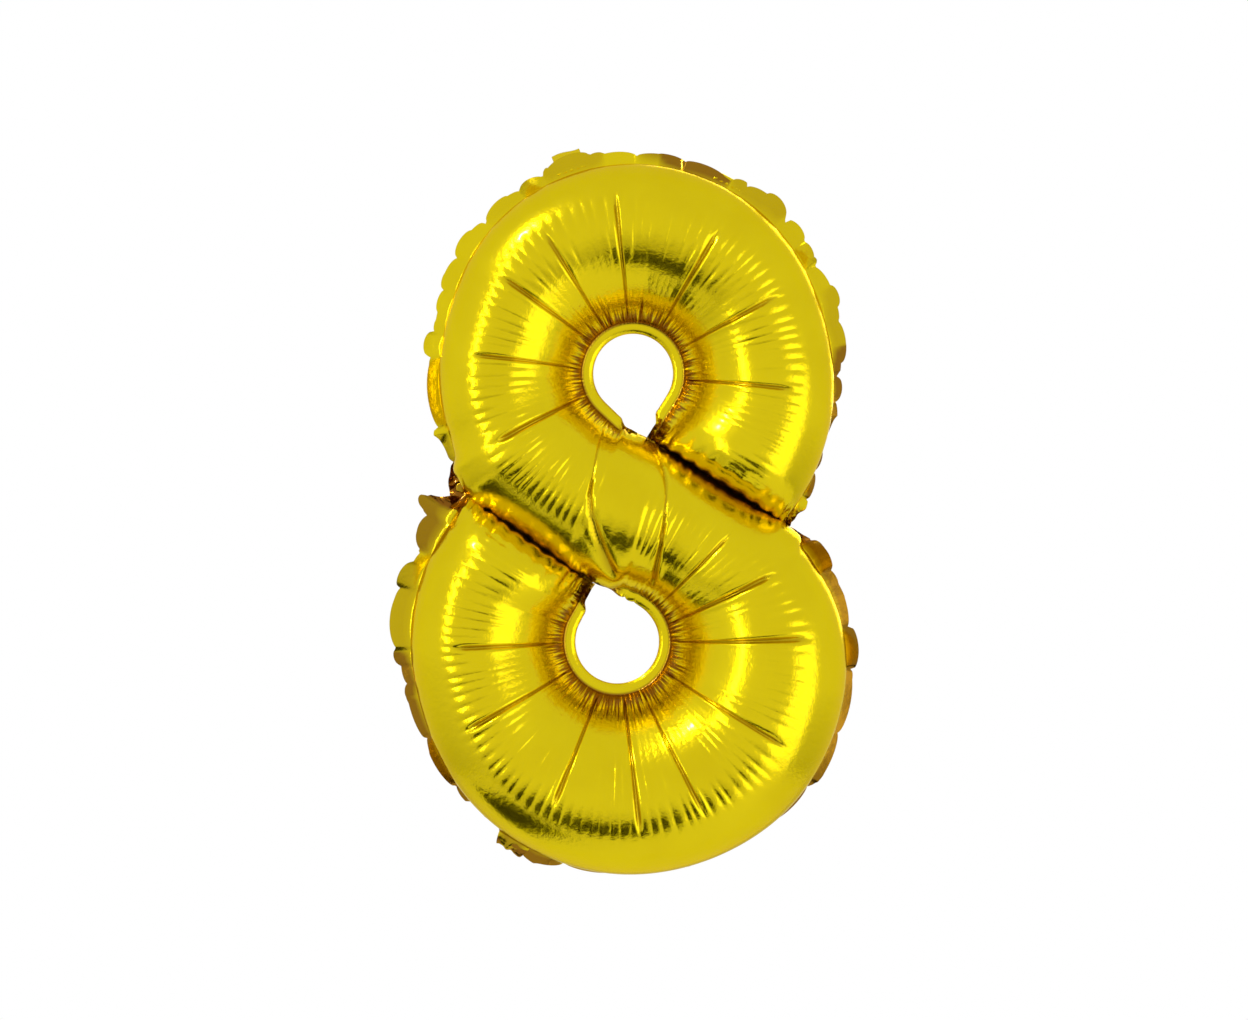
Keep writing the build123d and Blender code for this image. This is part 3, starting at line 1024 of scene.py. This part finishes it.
def valve(frame, material):
    """The two clear films of the valve, lying inside the tube from the neck inward."""
    origin, along, _, radial = hinge_axes(frame, "neck_fold", "neck_front_film")
    t = np.linspace(0, 1, 40)[:, None]
    s = np.linspace(-1, 1, 14)[None, :]
    for layer, side in (("front", -1), ("back", 1)):
        wave = 0.5 * np.sin(t * 9) * t * (1 - 0.3 * s * s)
        gap = side * (0.03 + 0.25 * t * (1 - s * s))
        sink = -(9.0 + (VALVE_LENGTH - 9) * t)
        across = VALVE_WIDTH / 2 * s + 0 * t
        place = (sink + 0 * s)[:, :, None] * radial + across[:, :, None] * along
        place = place + (wave + gap)[:, :, None] * np.array([0, 1.0, 0])
        piece = grid_piece("valve_" + layer + "_sheet", origin + MM * place)
        finish_piece(piece, material, "balloon", "valve_" + layer + "_film")


def weld(name, point, toward, material):
    """A small crimped disc that tacks an arm's margin to the band beside it."""
    own = np.random.default_rng(sum(map(ord, name)))
    step = np.subtract(toward, point).astype(float)
    middle = np.array(point) + step / np.linalg.norm(step) * WELD_SET_IN
    angles = np.linspace(0, 2 * pi, 40, endpoint=False)[:, None]
    t = np.concatenate([np.linspace(0.02, 1, 9), np.linspace(1, 0.02, 9)])[None, :]
    side = np.concatenate([-np.ones(9), np.ones(9)])[None, :]
    radius = WELD_RADIUS * t * (1 + 0.07 * np.sin(5 * angles + own.uniform(0, 6)))
    ridge = 0.10 * np.abs(np.sin(angles * 9)) * t
    thick = side * (0.25 + 0.35 * (1 - t * t) + ridge) * (t < 1)
    x, z = middle[0] + radius * np.cos(angles), middle[1] + radius * np.sin(angles)
    place = np.stack([x, thick, z], -1)
    piece = grid_piece(name + "_foil", place * MM, closed=True)
    # Painted shade over the whole disc.
    paint_shade(piece, np.full(angles.size * t.size, WELD_PAINTED_SHADE))
    finish_piece(piece, material, "balloon", name)


def build_film(frame):
    """The two inflated panels."""
    band = Band()
    film = Film(band)
    own = np.random.default_rng(8)
    broad = crease_places(band.run, PLEAT_SPACING[0], 0.3, own)
    coarse = np.sort(np.concatenate([main_creases(band), broad]))
    fine = crease_places(band.run, PLEAT_SPACING[1], 0.45, own)
    film.smooth = film.place.copy()
    for layer, outward in ((0, -1), (1, 1)):
        height = pleat(film, coarse, (0.9, 0.62), (0.5, 0.22), own)
        height += pleat(film, fine, (0.5, 0.28), (0.3, 0.10), own)
        normal = normals(film.place[layer])
        normal *= np.sign(normal[:, :, 1:2]) * outward
        film.place[layer] += normal * height[:, :, None]
    inflate(film, SIM_FRAMES)
    details = Details(film)
    folds = details.height()
    outward, back, painted_shade = details.margin()
    # Painted shade: bent margin darkens with how far it is bent back, added to that of the lobes, tucks,
    # rings and slits.
    bent = BENT_PAINTED_SHADE * np.clip(np.abs(back) / 3.0 - 0.3, 0, 1) * (details.beyond_side != 0)[None, :]
    shade = np.clip(details.shade() + np.maximum(bent, painted_shade) * details.loose(), 0, 1)
    side = details.side[:, None, :] * np.sign(details.share - 0.5)[None, :, None]
    swell = details.swell()
    flat = np.stack(np.broadcast_arrays(details.run[:, None], 100 * details.share[None, :]), -1) * MM
    foil = gold_foil()
    for layer, name in ((0, "front_foil"), (1, "back_foil")):
        place = refine_grid(film.place[layer])
        forward = 1 if layer else -1
        normal = normals(place)
        normal *= np.sign(normal[:, :, 1:2]) * forward
        place += normal * folds[:, :, None]
        place[:, :, [0, 2]] += outward[:, :, None] * side + swell
        place[:, :, 1] += back + forward * FILM_GAP
        piece = film_mesh(name, place, flat, outward=layer == 1)
        paint_shade(piece, shade)
        piece.data.materials.append(foil)
        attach(piece, "balloon")
        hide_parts("front_panel" if layer == 0 else "back_panel")
    return foil


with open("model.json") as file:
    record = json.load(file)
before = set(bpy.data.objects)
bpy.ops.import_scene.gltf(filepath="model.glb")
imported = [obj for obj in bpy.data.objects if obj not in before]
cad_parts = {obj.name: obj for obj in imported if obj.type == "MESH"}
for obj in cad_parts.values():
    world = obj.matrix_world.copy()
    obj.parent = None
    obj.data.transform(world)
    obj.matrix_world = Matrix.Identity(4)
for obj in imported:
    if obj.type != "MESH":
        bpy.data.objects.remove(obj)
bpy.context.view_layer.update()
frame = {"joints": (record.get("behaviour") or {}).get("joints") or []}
foil = build_film(frame)
tab(frame, "left", foil)
tab(frame, "right", foil)
neck(frame, foil)
valve(frame, valve_film())
for side, (tip, notch) in zip(("upper", "lower"), SLITS):
    weld(side + "_hole_tack_weld", tip, notch, foil)
    weld(side + "_notch_tack_weld", notch, tip, foil)
visual_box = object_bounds()
studio(*[Vector(corner) for corner in visual_box])
